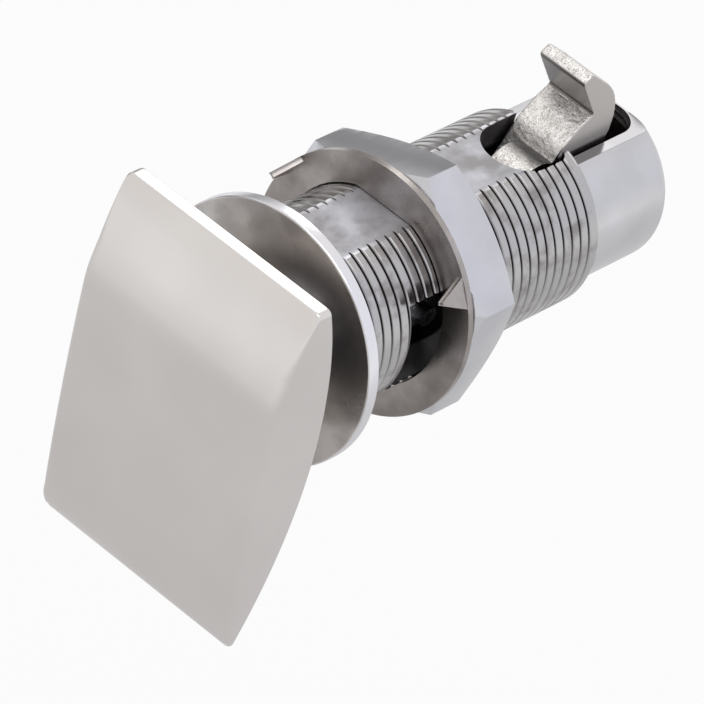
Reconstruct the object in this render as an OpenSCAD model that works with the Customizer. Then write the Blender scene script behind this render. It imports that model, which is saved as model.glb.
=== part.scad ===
// Pull latch for a cabinet or locker door: a rectangular pull plate, a round rose, a threaded barrel
// that goes through the door, and a claw hook that folds back into the barrel when the plate is pulled.
// Millimetres. +X right, +Y from the plate through the door to the hook, +Z the side the hook stands on.
// The origin is the centre of the rose's rear face, where it lies on the door.

/* [Rose and barrel] */
// Diameter of the round rose
rose_d = 32.1; // [31:0.1:40]
// Thickness of the rose
rose_t = 1.6; // [1.2:0.1:3]
// Bevel round the rose's front edge
rose_bevel = 0.3; // [0.1:0.05:0.6]
// Outer diameter of the barrel's thread
thread_d = 24; // [23.4:0.1:25]
// Pitch of the thread
thread_pitch = 1.5; // [1.25:0.05:2]
// Depth of the thread
thread_depth = 0.75; // [0.5:0.05:0.9]
// Length of the barrel's threaded part behind the rose
thread_len = 43.1; // [42.8:0.1:46]
// Height of the barrel's two flats above its axis
flat_h = 11.2; // [10.8:0.05:11.5]
// Diameter of the plain tail behind the thread
tail_d = 21.4; // [20.6:0.1:22]
// Height of the tail's top flat above the axis
tail_flat_h = 9.35; // [9.1:0.05:9.6]
// Rounding of the tail's rear edge
tail_round = 1.4; // [0.6:0.1:1.6]
// Thickness of the thin wall between the hook's slot and the tail's end
slot_rim = 0.25; // [0.2:0.05:0.5]
// Thickness of the disc that closes the tail
plug_t = 1.2; // [0.8:0.1:2]
// Diameter of the front bore that takes the bush
bush_bore_d = 16; // [15.4:0.1:17]
// Diameter of the front chamber, in which the guide block slides
front_bore_d = 14.16; // [13.6:0.02:14.6]
// Diameter of the rear chamber, which holds the hook and its cage
rear_bore_d = 16.8; // [16.4:0.1:17]
// Thickness of the web between the two chambers
web_t = 2; // [1.5:0.1:3]
// Height of the two side windows
window_h = 12.2; // [9:0.1:13]

/* [Plate] */
// Width of the pull plate
plate_w = 29.5; // [24:0.5:40]
// Height of the pull plate
plate_h = 49; // [40:0.2:60]
// Thickness of the plate at its top edge
plate_edge_t = 1.9; // [1.4:0.1:2.6]
// Bulge of the plate's front face at its soft fold
plate_front_bulge = 3.7; // [3:0.1:4.4]
// Height of the fold above the plate's middle
plate_fold = 11.8; // [9:0.2:14]
// Radius of the front face above the fold
plate_brow_r = 42; // [36:1:60]
// Radius of the front face below the fold
plate_face_r = 400; // [200:10:800]
// Rounding of the front face's lower end
plate_chin_r = 3.6; // [2:0.1:4]
// Bulge of the plate's rear face
plate_rear_bulge = 5.1; // [3:0.1:5.3]
// Rounding of the plate's four corners
plate_corner = 1.2; // [0.5:0.1:4]
// Distance from the barrel's axis down to the plate's middle
plate_drop = 6.8; // [0:0.1:9]
// Distance from the rose's rear face to the plate's middle
plate_stand = 12.6; // [12:0.1:18]

/* [Stem and return spring] */
// Diameter of the pull stem
stem_d = 6; // [5:0.1:6.6]
// Diameter of the stem's threaded front end, in the plate
stem_front_d = 5; // [4:0.1:5]
// Depth to which the stem's front end goes into the plate
stem_grip = 4.6; // [3:0.1:5]
// Diameter of the stem's rear end, in the clevis
stem_rear_d = 4; // [3:0.1:4.2]
// Diameter of the collar between plate and rose
collar_d = 11; // [9:0.1:13]
// Space between the collar and the rose at rest
collar_gap = 0.6; // [0.4:0.1:1.5]
// Length of the front bush, which is flush with the rose
bush_len = 5.6; // [5:0.1:7]
// Thickness of the stem's rubber seal
seal_d = 1.3; // [1:0.05:1.6]
// Diameter of the spring's wire
spring_wire_d = 0.9; // [0.6:0.05:1]
// Mean diameter of the spring's coil
spring_d = 9.8; // [8.8:0.1:11]
// Length of the spring at rest
spring_len = 10; // [9.6:0.1:14]
// Number of turns in the spring
spring_turns = 4; // [3:0.5:5]
// Thickness of the washer under the spring
spring_washer_t = 0.55; // [0.4:0.05:1]
// Length of the guide block
block_len = 6.3; // [5:0.1:8]
// Diameter of the guide block's cross pin
guide_pin_d = 2.5; // [2:0.1:3]
// How far the cross pin stands out of each side of the guide block
guide_pin_proud = 1.3; // [0.8:0.1:2]

/* [Hook and its drive] */
// Width of the hook's arm and claw
hook_w = 7; // [6:0.1:7.4]
// How much wider the slot in the tail is than the hook
slot_room = 0.9; // [0.6:0.1:1.2]
// How much wider the pocket over the hook's hub is than the hook
pocket_room = 1.8; // [1.7:0.1:2.4]
// How far the pocket's middle lies to the side of the barrel's axis
pocket_shift = 0.5; // [0.3:0.1:0.7]
// Angle through which the hook swings when the plate is pulled
hook_swing = 57; // [45:1:60]
// Height of the hook's pivot above the barrel's axis
pivot_h = 4.6; // [4.3:0.1:5]
// Depth of the drive pin below the barrel's axis
drive_drop = 0.8; // [0.5:0.1:1]
// Diameter of the hook's pivot pin
pivot_pin_d = 2.5; // [2:0.1:2.6]
// Diameter of the drive pin in the clevis
drive_pin_d = 2; // [1.6:0.1:2.2]
// Radius of the round front of the hook's hub
hub_front_r = 4.5; // [4.2:0.1:4.6]
// Radius of the hub round the pivot
hub_r = 2.9; // [2.5:0.1:3]
// Width of the round front of the hub
hub_front_w = 5; // [4.6:0.1:5.8]
// Height of the claw's mouth corner above the pivot
mouth_h = 9.7; // [9.2:0.1:10.4]
// Distance of the claw's mouth corner behind the pivot
mouth_back = 9.2; // [8.6:0.1:9.6]
// Height of the claw's nose above the pivot
nose_h = 15.5; // [14.8:0.1:16.2]
// Distance of the claw's nose behind the pivot
nose_back = 5.1; // [4.6:0.1:5.5]
// Radius of the claw's rounded back
back_r = 8.5; // [8.2:0.05:8.9]
// Width of the hook's drive tail
drive_tail_w = 3; // [2.4:0.1:3.2]
// Thickness of the cage's cheeks
cheek_t = 1.65; // [1.2:0.05:2]
// Length of the cage's cheeks
cheek_len = 10; // [8:0.5:11]
// Diameter of the set screw that holds the cage
set_screw_d = 3; // [2:0.5:4]

/* [Nut and washer] */
// Space for the door between the rose and the washer
door_gap = 15.4; // [6:0.1:18]
// How much smaller the washer's radius is than the rose's
washer_inset = 0.1; // [0:0.05:0.8]
// Thickness of the washer
washer_t = 0.8; // [0.6:0.1:1.5]
// Length of the washer's two bent spurs
spur_len = 4.2; // [2:0.1:6]
// Width of each spur at its root
spur_w = 3.6; // [2:0.1:5]
// Angle of each spur from the hook's side of the barrel
spur_angle = 59; // [40:1:80]
// How much less the nut measures across its flats than the rose's diameter
nut_inset = 2.8; // [1:0.1:4]
// Thickness of the nut
nut_t = 7.4; // [5:0.1:9]
// Angle by which the nut's first corner stands above the middle of the barrel's side
nut_turn = 19; // [0:1:59]

/* [Fits] */
// Radial clearance of a shaft that turns or slides in its bore
run_gap = 0.05; // [0.03:0.01:0.1]
// Radial clearance of parts that are fixed in each other
seat_gap = 0.02; // [0.01:0.01:0.04]
// Clearance between faces that lie next to each other
face_gap = 0.1; // [0.05:0.01:0.15]
// Radial clearance of the nut on the thread
nut_gap = 0.06; // [0.03:0.01:0.15]
// Radial clearance of the washer's hole round the thread and its flats
washer_gap = 0.15; // [0.08:0.01:0.3]
// Clearance beside the hook in its cage
side_gap = 0.15; // [0.1:0.01:0.2]

/* [Hidden] */
$fn = 96;
big = 60;

rose_r = rose_d / 2;
thread_r = thread_d / 2;
tail_r = tail_d / 2;
bush_r = bush_bore_d / 2;
front_r = front_bore_d / 2;
rear_r = rear_bore_d / 2;
stem_r = stem_d / 2;

// The drive pin crosses below the pivot at half travel, so it runs as far before it as behind it
lever = pivot_h + drive_drop;
half_travel = lever * tan(hook_swing / 2);
travel = 2 * half_travel;

// Places along the barrel, from the rose's rear face
bush_end = bush_len - rose_t;
spring_y = bush_end + 2 * face_gap + spring_washer_t;
block_y = spring_y + spring_len;
block_end = block_y + block_len;
guide_pin_y = block_y + block_len / 2;
web_y = block_end + face_gap;
web_end = web_y + web_t;
clevis_room = 0.35;
clevis_y = web_end + travel + clevis_room;
clevis_base_len = 3.8;
clevis_base_end = clevis_y + clevis_base_len;
clevis_neck_len = 3.6;
fork_y = clevis_base_end + clevis_neck_len;
fork_depth = 4.2;
drive_y = fork_y + fork_depth;
pivot_y = drive_y - half_travel;

// The guide pin's travel sets where the side windows begin
window_margin = 0.5;
window_y = guide_pin_y - travel - guide_pin_d / 2 - window_margin;

// Claw outline, seen from the side, from the pivot
arm_foot = [0.75, 0];
shoulder = [arm_foot[0] + 4, mouth_h - 3.1];
mouth = [mouth_back, mouth_h];
nose = [nose_back, nose_h];
ridge = [nose_back + 1.5, nose_h + 0.95];
back_centre = [5.1, 7];
ridge_reach = norm(ridge - back_centre);
tangent_angle = atan2(ridge[1] - back_centre[1], ridge[0] - back_centre[0]) - acos(back_r / ridge_reach);
tangent = back_centre + back_r * [cos(tangent_angle), sin(tangent_angle)];
heel_h = 4;
heel = [back_centre[0] + sqrt(pow(back_r, 2) - pow(heel_h - back_centre[1], 2)), heel_h];
hub_step = 1.2;
hub_far_x = -hook_w / 2 + hub_step;
hub_front_far_x = hook_w / 2 - hub_front_w;
hub_front_centre = [1.2, 1];

// Farthest place that the claw reaches when the hook is folded, and what lies behind it
folded_back = back_centre[0] * cos(hook_swing) + back_centre[1] * sin(hook_swing) + back_r;
folded_ridge = ridge[0] * cos(hook_swing) + ridge[1] * sin(hook_swing);
swing_gap = 1.25;
plug_y = pivot_y + max(folded_back, folded_ridge) + swing_gap;
barrel_end = plug_y + plug_t;
slot_w = hook_w + slot_room;
slot_end = barrel_end - slot_rim;
slot_corner = 1.2;
slot_round = slot_w / 2 - 0.5;
pocket_w = hook_w + pocket_room;
pocket_y = pivot_y - 4.2;
pocket_end = thread_len - 0.7;
pocket_round = pocket_w / 2 - 0.15;

cheek_x = hook_w / 2 + side_gap;
cage_r = rear_r - face_gap;
tail_over = 0.9;
tail_reach = lever / cos(hook_swing / 2) + drive_pin_d / 2 + tail_over;
tail_clear = 0.75;
cage_floor_h = pivot_h - tail_reach - tail_clear;
cheek_over = 0.75;
cheek_top = pivot_h + pivot_pin_d / 2 + cheek_over;
cage_end = pivot_y + cheek_len / 2;

clevis_w = 2 * (cheek_x - 0.25);
clevis_low = -drive_drop - 2.6;
clevis_high = 2.8;
ear_high = -drive_drop + 2;
fork_w = drive_tail_w + 0.4;

collar_end = -rose_t - collar_gap;
plate_seat = 1;
plate_rear_y = -plate_stand + plate_edge_t / 2 + plate_rear_bulge;
collar_y = plate_rear_y - plate_seat;
nut_seat_gap = 0.02;

washer_y = door_gap;
nut_y = washer_y + washer_t + nut_seat_gap;
washer_r = rose_r - washer_inset;
nut_af = rose_d - nut_inset;
nut_corner_r = nut_af / 2 / cos(30);

// A child drawn about Z is laid along the barrel, with its Z as +Y
module along_barrel() {
    rotate([-90, 0, 0])
        children();
}

// A solid rod along the barrel
module rod_y(r, y0, y1) {
    translate([0, y0, 0])
        along_barrel()
            cylinder(r = r, h = y1 - y0);
}

// A ring or sleeve along the barrel
module sleeve_y(r_out, r_in, y0, y1) {
    difference() {
        rod_y(r_out, y0, y1);
        rod_y(r_in, y0 - 1, y1 + 1);
    }
}

// A rod across the barrel, at a place along it and a height over its axis
module rod_x(r, x0, x1, y, z) {
    translate([x0, y, z])
        rotate([0, 90, 0])
            cylinder(r = r, h = x1 - x0);
}

// A side view in (Y, Z), given from the pivot, made into a slab across the barrel
module slab_at_pivot(x0, x1) {
    translate([x0, pivot_y, pivot_h])
        rotate([90, 0, 90])
            linear_extrude(height = x1 - x0)
                children();
}

// A quarter circle of points, from a given angle
function corner_arc(x, y, r, from) = [
    for (a = [from:15:from + 90])
        [x + r * cos(a), y + r * sin(a)]
];

// An upright prism on the middle plane, its plan a rectangle with rounded front and rear corners
module rounded_prism(w, y0, y1, z0, z1, front_round, rear_round) {
    front_x = w / 2 - front_round;
    rear_x = w / 2 - rear_round;
    translate([0, 0, z0])
        linear_extrude(height = z1 - z0)
            polygon(concat(
                corner_arc(rear_x, y1 - rear_round, rear_round, 0),
                corner_arc(-rear_x, y1 - rear_round, rear_round, 90),
                corner_arc(-front_x, y0 + front_round, front_round, 180),
                corner_arc(front_x, y0 + front_round, front_round, 270)
            ));
}

// Points of the threaded part's outline, as [radius, place along the barrel]
function thread_points(start, end) =
    let (
        crest = thread_pitch * 0.42,
        flank = thread_pitch * 0.22,
        root = thread_r - thread_depth,
        count = floor((end - start - crest) / thread_pitch)
    )
    [
        [thread_r, start],
        for (i = [0:count - 1])
            let (y = start + i * thread_pitch)
            each [
                [root, y + flank],
                [root, y + thread_pitch - crest - flank],
                [thread_r, y + thread_pitch - crest],
                [thread_r, y + thread_pitch]
            ]
    ];

module barrel_outline() {
    plain_len = 1;
    polygon(concat(
        [
            [0, -rose_t],
            [rose_r - rose_bevel, -rose_t],
            [rose_r, -rose_t + rose_bevel],
            [rose_r, 0],
            [thread_r, 0]
        ],
        thread_points(plain_len, thread_len - 0.4),
        [
            [thread_r, thread_len - 0.4],
            [thread_r - 0.4, thread_len],
            [tail_r, thread_len]
        ],
        [
            for (a = [0:15:90])
                [tail_r - tail_round * (1 - cos(a)), barrel_end - tail_round * (1 - sin(a))]
        ],
        [[0, barrel_end]]
    ));
}

// Rose, threaded body and tail, with the flats, bores, windows and the hook's slot
module barrel() {
    color("gainsboro")
        difference() {
            along_barrel()
                rotate_extrude()
                    barrel_outline();
            for (side = [0, 1])
                mirror([0, 0, side])
                    translate([-big / 2, 0, flat_h])
                        cube([big, thread_len, big]);
            translate([-big / 2, thread_len, tail_flat_h])
                cube([big, big, big]);
            rod_y(bush_r, -rose_t - 1, bush_end);
            rod_y(front_r, bush_end - 1, web_y);
            rod_y(stem_r + run_gap, web_y - 1, web_end + 1);
            rod_y(rear_r, web_end, barrel_end + 1);
            translate([-big / 2, window_y, -window_h / 2])
                cube([big, web_y - window_y, window_h]);
            rounded_prism(slot_w, pivot_y, slot_end, 0, big, slot_corner, slot_round);
            translate([pocket_shift, 0, 0])
                rounded_prism(pocket_w, pocket_y, pocket_end, pivot_h, big, pocket_round, slot_corner);
            translate([0, set_screw_y, -big])
                cylinder(d = set_screw_d + 2 * seat_gap, h = big);
        }
}

// Plain bush that guides the stem and closes the front of the barrel
seal_room = 0.05;
seal_r = stem_r + seal_room + seal_d / 2;
seal_y = bush_len / 2 - rose_t;
module front_bush() {
    groove_w = seal_d + 0.3;
    groove_r = stem_r + seal_d + 2 * seal_room;
    color("silver")
        difference() {
            sleeve_y(bush_r - seat_gap, stem_r + run_gap, -rose_t, bush_end);
            rod_y(groove_r, seal_y - groove_w / 2, seal_y + groove_w / 2);
        }
}

// Rubber ring in the bush, round the stem
module stem_seal() {
    color("dimgray")
        translate([0, seal_y, 0])
            along_barrel()
                rotate_extrude()
                    translate([seal_r, 0])
                        circle(d = seal_d, $fn = 48);
}

// Flat washer between the bush and the spring
module spring_washer() {
    color("silver")
        sleeve_y(front_r - 0.5, stem_r + 0.1, bush_end + face_gap, bush_end + face_gap + spring_washer_t);
}

// Disc that closes the tail
module end_plug() {
    mark_r = 0.96;
    mark_depth = plug_t / 3;
    color("silver")
        difference() {
            rod_y(rear_r - seat_gap, plug_y, barrel_end);
            rod_y(mark_r, barrel_end - mark_depth, barrel_end + 1);
        }
}

// Carrier pushed into the rear chamber: a floor and two cheeks that hold the pivot pin
set_screw_y = pivot_y - cheek_len / 2 - set_screw_d;
cage_y = web_end + face_gap;
module hook_cage() {
    color("darkgray")
        difference() {
            intersection() {
                rod_y(cage_r, cage_y, cage_end);
                union() {
                    translate([-cheek_x - cheek_t, cage_y, -big])
                        cube([2 * (cheek_x + cheek_t), cage_end - cage_y, big + cage_floor_h]);
                    for (side = [0, 1])
                        mirror([side, 0, 0])
                            translate([cheek_x, pivot_y - cheek_len / 2, -rear_r])
                                cube([cheek_t, cheek_len, rear_r + cheek_top]);
                }
            }
            rod_x(pivot_pin_d / 2 + seat_gap, -rear_r, rear_r, pivot_y, pivot_h);
            translate([0, set_screw_y, -big])
                cylinder(d = set_screw_d + 2 * seat_gap, h = big + cage_floor_h - 0.8);
        }
}

// Set screw under the barrel, which holds the cage
module cage_set_screw() {
    top = cage_floor_h - 0.9;
    low = -flat_h + 0.5;
    socket_d = set_screw_d / 2;
    color("dimgray")
        difference() {
            translate([0, set_screw_y, low])
                cylinder(d = set_screw_d, h = top - low);
            translate([0, set_screw_y, low - 1])
                cylinder(d = socket_d, h = 1 + socket_d, $fn = 6);
        }
}

// Pin on which the hook turns, held between the walls of the rear chamber
module hook_pivot_pin() {
    pin_top = pivot_h + pivot_pin_d / 2;
    half = sqrt(pow(rear_r, 2) - pow(pin_top, 2)) - face_gap;
    color("silver")
        rod_x(pivot_pin_d / 2, -half, half, pivot_y, pivot_h);
}

// Thin ring beside the hub that fills its narrower side
module pivot_spacer() {
    color("silver")
        difference() {
            rod_x(hub_r - 0.5, -cheek_x + 0.05, hub_far_x - 0.05, pivot_y, pivot_h);
            rod_x(pivot_pin_d / 2 + run_gap, -big, big, pivot_y, pivot_h);
        }
}

// Centre of the arc from p down to q, which bulges towards the front
function arc_centre(p, q, r) =
    let (
        chord = q - p,
        len = norm(chord),
        away = sqrt(pow(r, 2) - pow(len / 2, 2))
    )
    (p + q) / 2 + away / len * [-chord[1], chord[0]];

// Side view of the plate in (Y, Z), from its middle
module plate_section() {
    half_h = plate_h / 2;
    front = -plate_edge_t / 2;
    fold = [front - plate_front_bulge, plate_fold];
    brow_centre = arc_centre([front, half_h], fold, plate_brow_r);
    face_centre = arc_centre(fold, [front, -half_h], plate_face_r);
    back_r = (pow(half_h, 2) + pow(plate_rear_bulge, 2)) / (2 * plate_rear_bulge);
    chin_h = plate_chin_r - half_h;
    chin_front = face_centre[0] - sqrt(pow(plate_face_r, 2) - pow(chin_h - face_centre[1], 2));
    chin_x = chin_front + plate_chin_r - 0.05;
    intersection() {
        union() {
            translate(brow_centre)
                circle(r = plate_brow_r, $fn = 360);
            translate([-big / 2, -half_h - 1])
                square([big, half_h + plate_fold - 2]);
        }
        translate(face_centre)
            circle(r = plate_face_r, $fn = 720);
        translate([plate_rear_bulge + plate_edge_t / 2 - back_r, 0])
            circle(r = back_r, $fn = 360);
        union() {
            translate([-big / 2, chin_h])
                square([big, half_h - chin_h]);
            translate([chin_x, chin_h])
                circle(r = plate_chin_r);
            translate([chin_x, -half_h])
                square([big / 2, plate_chin_r + 1]);
        }
    }
}

// Pillow-shaped pull plate, straight across and curved from top to bottom
module pull_plate() {
    color("lightgray")
        difference() {
            intersection() {
                translate([-plate_w / 2, -plate_stand, -plate_drop])
                    rotate([90, 0, 90])
                        linear_extrude(height = plate_w)
                            plate_section();
                translate([0, -plate_stand, -plate_drop])
                    rotate([90, 0, 0])
                        rounded_prism(plate_w, -plate_h / 2, plate_h / 2, -big / 2, big / 2, plate_corner,
                            plate_corner);
            }
            rod_y(collar_d / 2 + seat_gap, collar_y, big);
            rod_y(stem_front_d / 2 + seat_gap, collar_y - stem_grip - face_gap, big);
        }
}

// Collar round the stem, seated in the back of the plate
module stem_collar() {
    color("silver")
        sleeve_y(collar_d / 2, stem_r + seat_gap, collar_y, collar_end);
}

// Turned stem from the plate to the clevis
module pull_stem() {
    color("silver")
        difference() {
            union() {
                rod_y(stem_front_d / 2, collar_y - stem_grip, collar_y + 1);
                rod_y(stem_r, collar_y, clevis_y);
                rod_y(stem_rear_d / 2, clevis_y - 1, clevis_base_end - face_gap);
            }
            rod_x(guide_pin_d / 2 + seat_gap, -big, big, guide_pin_y, 0);
            rod_x(cross_pin_d / 2 + seat_gap, -big, big, cross_pin_y, 0);
        }
}

// Block pinned on the stem, which slides in the front chamber and takes the spring's push
module guide_block() {
    spigot_len = 1.2;
    spigot_r = spring_d / 2 - spring_wire_d / 2 - 0.35;
    color("darkgray")
        difference() {
            union() {
                rod_y(front_r - run_gap - 0.03, block_y, block_end);
                rod_y(spigot_r, block_y - spigot_len, block_y + 1);
            }
            rod_y(stem_r + seat_gap, block_y - spigot_len - 1, block_end + 1);
            rod_x(guide_pin_d / 2 + seat_gap, -big, big, guide_pin_y, 0);
        }
}

// Hollow pin through guide block and stem, its ends in the side windows
module guide_pin() {
    half = front_r + guide_pin_proud;
    color("silver")
        difference() {
            rod_x(guide_pin_d / 2, -half, half, guide_pin_y, 0);
            rod_x(guide_pin_d / 5, -half - 1, half + 1, guide_pin_y, 0);
        }
}

// Place along the spring after a share of its length, with a closed turn at each end
function coil_y(turn) =
    let (
        closed = spring_wire_d * 1.04,
        active = (spring_len - spring_wire_d - 2 * closed) / (spring_turns - 2),
        low = min(turn, 1),
        high = max(turn - (spring_turns - 1), 0),
        middle = turn - low - high
    )
    spring_wire_d / 2 + closed * (low + high) + active * middle;

// One ring of points round the wire
function coil_ring(turn, sides) =
    let (
        a = 360 * turn,
        centre = [spring_d / 2 * cos(a), coil_y(turn), spring_d / 2 * sin(a)]
    )
    [
        for (k = [0:sides - 1])
            let (b = 360 * k / sides)
            centre + spring_wire_d / 2 * (cos(b) * [cos(a), 0, sin(a)] + sin(b) * [0, 1, 0])
    ];

// Compression spring between the washer and the guide block
module return_spring() {
    sides = 8;
    steps = 20 * spring_turns;
    rings = [for (i = [0:steps]) coil_ring(spring_turns * i / steps, sides)];
    points = [for (ring = rings) each ring];
    walls = [
        for (i = [0:steps - 1], k = [0:sides - 1])
            let (n = (k + 1) % sides)
            [i * sides + k, (i + 1) * sides + k, (i + 1) * sides + n, i * sides + n]
    ];
    first = [for (k = [0:sides - 1]) k];
    last = [for (k = [sides - 1:-1:0]) steps * sides + k];
    color("silver")
        translate([0, spring_y, 0])
            polyhedron(points, concat(walls, [first, last]));
}

// Fork on the stem's rear end that carries the drive pin
cross_pin_d = 1.5;
cross_pin_y = clevis_y + clevis_base_len / 2;
module clevis() {
    half_w = clevis_w / 2;
    ear_end = drive_y + drive_pin_d / 2 + 1;
    color("darkgray")
        difference() {
            union() {
                translate([-half_w, clevis_y, clevis_low])
                    cube([clevis_w, clevis_base_len, clevis_high - clevis_low]);
                translate([-half_w, clevis_y, clevis_low])
                    cube([clevis_w, ear_end - clevis_y, ear_high - clevis_low]);
            }
            translate([-fork_w / 2, fork_y, -big / 2])
                cube([fork_w, big, big]);
            rod_y(stem_rear_d / 2 + seat_gap, clevis_y - 1, clevis_base_end);
            rod_x(cross_pin_d / 2 + seat_gap, -big, big, cross_pin_y, 0);
            rod_x(drive_pin_d / 2 + seat_gap, -big, big, drive_y, -drive_drop);
        }
}

// Pin that fixes the clevis on the stem
module clevis_cross_pin() {
    color("silver")
        rod_x(cross_pin_d / 2, -clevis_w / 2, clevis_w / 2, cross_pin_y, 0);
}

// Pin in the clevis that swings the hook
module drive_pin() {
    color("silver")
        rod_x(drive_pin_d / 2, -clevis_w / 2, clevis_w / 2, drive_y, -drive_drop);
}

// Claw and arm in side view, from the pivot
module claw_section() {
    hub_foot = [1.4, -2.5];
    intersection() {
        polygon([[0, 0], arm_foot, shoulder, mouth, nose, ridge, ridge + [3, 8],
            [back_centre[0] + back_r + 2, ridge[1]], [back_centre[0] + back_r + 2, heel[1]], heel, hub_foot]);
        union() {
            translate(back_centre)
                circle(r = back_r, $fn = 240);
            polygon([back_centre, shoulder, mouth, nose, ridge, tangent]);
            circle(r = hub_front_r + 0.7);
        }
    }
}

// Round front of the hub in side view, cut away where the clevis passes below
module hub_section() {
    ear_room = 0.2;
    foot = ear_high + ear_room - pivot_h;
    intersection() {
        translate(hub_front_centre)
            circle(r = hub_front_r);
        polygon([[-big, foot], [0, foot], [0, 0], shoulder, [-big, shoulder[1]]]);
    }
}

// Forked tail below the pivot in side view, leaning back by half the swing
module drive_tail_section() {
    half_w = drive_pin_d / 2 + 1.5;
    slot_half = drive_pin_d / 2 + 0.15;
    rotate(hook_swing / 2)
        difference() {
            union() {
                circle(r = hub_r);
                translate([-half_w, -tail_reach])
                    square([2 * half_w, tail_reach]);
            }
            translate([-slot_half, -tail_reach - 1])
                square([2 * slot_half, tail_reach + 1 - lever + drive_pin_d / 2 + slot_half / 3]);
        }
}

// Cast hook: claw, arm, hub and the forked tail that the drive pin swings
module hook() {
    color("silver")
        difference() {
            union() {
                slab_at_pivot(-hook_w / 2, hook_w / 2)
                    claw_section();
                slab_at_pivot(hub_far_x, hook_w / 2)
                    circle(r = hub_r);
                slab_at_pivot(hub_front_far_x, hook_w / 2)
                    hub_section();
                slab_at_pivot(-drive_tail_w / 2, drive_tail_w / 2)
                    drive_tail_section();
            }
            rod_x(pivot_pin_d / 2 + run_gap, -big, big, pivot_y, pivot_h);
            rod_x(hub_r, -hook_w, hub_far_x, pivot_y, pivot_h);
        }
}

// Stamped washer with two spurs bent forward to bite into the door
module spur_washer() {
    hole_flat = flat_h + washer_gap;
    root_r = washer_r - 0.35;
    spur_t = washer_t * 0.9;
    color("rosybrown")
        union() {
            difference() {
                rod_y(washer_r, washer_y, washer_y + washer_t);
                intersection() {
                    rod_y(thread_r + washer_gap, washer_y - 1, washer_y + washer_t + 1);
                    translate([-big / 2, washer_y - 1, -hole_flat])
                        cube([big, washer_t + 2, 2 * hole_flat]);
                }
            }
            for (side = [-1, 1])
                rotate([0, side * spur_angle, 0])
                    translate([0, washer_y + washer_t / 2, root_r - spur_t])
                        linear_extrude(height = spur_t)
                            polygon([[-spur_w / 2, 0], [spur_w / 2, 0], [0, -spur_len - washer_t / 2]]);
        }
}

// Hexagon nut with both faces bevelled at the corners
module hex_nut() {
    face_r = nut_af / 2;
    cone_r = face_r + nut_t / 2 / tan(30);
    color("gainsboro")
        difference() {
            intersection() {
                translate([0, nut_y, 0])
                    along_barrel()
                        rotate(-nut_turn)
                            cylinder(r = nut_corner_r, h = nut_t, $fn = 6);
                translate([0, nut_y, 0])
                    along_barrel()
                        rotate_extrude()
                            polygon([[0, 0], [face_r, 0], [cone_r, nut_t / 2], [face_r, nut_t], [0, nut_t]]);
            }
            rod_y(thread_r + nut_gap, nut_y - 1, nut_y + nut_t + 1);
        }
}

barrel();
front_bush();
stem_seal();
spring_washer();
end_plug();
hook_cage();
cage_set_screw();
hook_pivot_pin();
pivot_spacer();
pull_plate();
stem_collar();
pull_stem();
guide_block();
guide_pin();
return_spring();
clevis();
clevis_cross_pin();
drive_pin();
hook();
spur_washer();
hex_nut();
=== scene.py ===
import math

import bmesh
import bpy
from mathutils import Matrix, Vector, noise


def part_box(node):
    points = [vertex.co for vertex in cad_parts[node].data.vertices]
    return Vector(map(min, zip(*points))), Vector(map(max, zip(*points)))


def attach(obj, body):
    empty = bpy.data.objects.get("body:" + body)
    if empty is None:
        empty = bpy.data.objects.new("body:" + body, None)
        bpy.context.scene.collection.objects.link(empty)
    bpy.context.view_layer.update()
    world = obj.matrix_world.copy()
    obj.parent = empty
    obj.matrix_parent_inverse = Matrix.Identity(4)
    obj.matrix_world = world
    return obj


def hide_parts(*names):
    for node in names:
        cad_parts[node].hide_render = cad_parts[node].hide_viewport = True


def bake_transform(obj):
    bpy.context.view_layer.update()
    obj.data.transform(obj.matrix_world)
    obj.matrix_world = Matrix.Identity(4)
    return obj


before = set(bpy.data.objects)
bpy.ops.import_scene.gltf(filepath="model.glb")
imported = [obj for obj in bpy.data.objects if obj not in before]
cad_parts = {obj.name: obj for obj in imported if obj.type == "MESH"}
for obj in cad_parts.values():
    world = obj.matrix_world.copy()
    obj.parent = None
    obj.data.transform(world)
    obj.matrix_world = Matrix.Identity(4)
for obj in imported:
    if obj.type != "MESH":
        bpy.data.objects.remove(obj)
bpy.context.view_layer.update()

mm = 0.001


def say(stage):
    print("pull latch:", stage)


# Colours are written as sRGB hex values and turned to linear here
def hexColour(text):
    channels = [int(text[i:i + 2], 16) / 255 for i in (1, 3, 5)]
    linear = [c / 12.92 if c <= 0.04045 else ((c + 0.055) / 1.055) ** 2.4 for c in channels]
    return (*linear, 1.0)


# Sets a node's inputs, by name or as a list in their order: a socket is linked, anything else is the value
def setInputs(node, inputs):
    pairs = inputs.items() if isinstance(inputs, dict) else enumerate(inputs)
    for key, value in pairs:
        if isinstance(value, bpy.types.NodeSocket):
            node.id_data.links.new(value, node.inputs[key])
        else:
            node.inputs[key].default_value = value


# Adds one node with its settings and links, and gives back one of its outputs
def addNode(tree, kind, inputs=(), output=0, **settings):
    node = tree.nodes.new("ShaderNode" + kind)
    for name, value in settings.items():
        setattr(node, name, value)
    setInputs(node, inputs)
    return node.outputs[output]


# A new material with its tree, its Principled shader and a point's place in the object's own coordinates
def newMaterial(name, metallic=1.0):
    material = bpy.data.materials.new(name)
    material.use_nodes = True
    tree = material.node_tree
    shader = tree.nodes["Principled BSDF"]
    shader.inputs["Metallic"].default_value = metallic
    return material, tree, shader, addNode(tree, "TexCoord", output="Object")


# A colour that goes from one hex tone to a second as a pattern rises from low to high
# A colour mix has its share in input 0, its colours in inputs 6 and 7 and its result in output 2
def twoTone(tree, pattern, first, second, low=0.3, high=0.7, most=1.0):
    share = addNode(tree, "MapRange", [pattern, low, high, 0.0, most])
    return addNode(tree, "Mix", {0: share, 6: hexColour(first), 7: hexColour(second)}, 2, data_type="RGBA")


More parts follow.
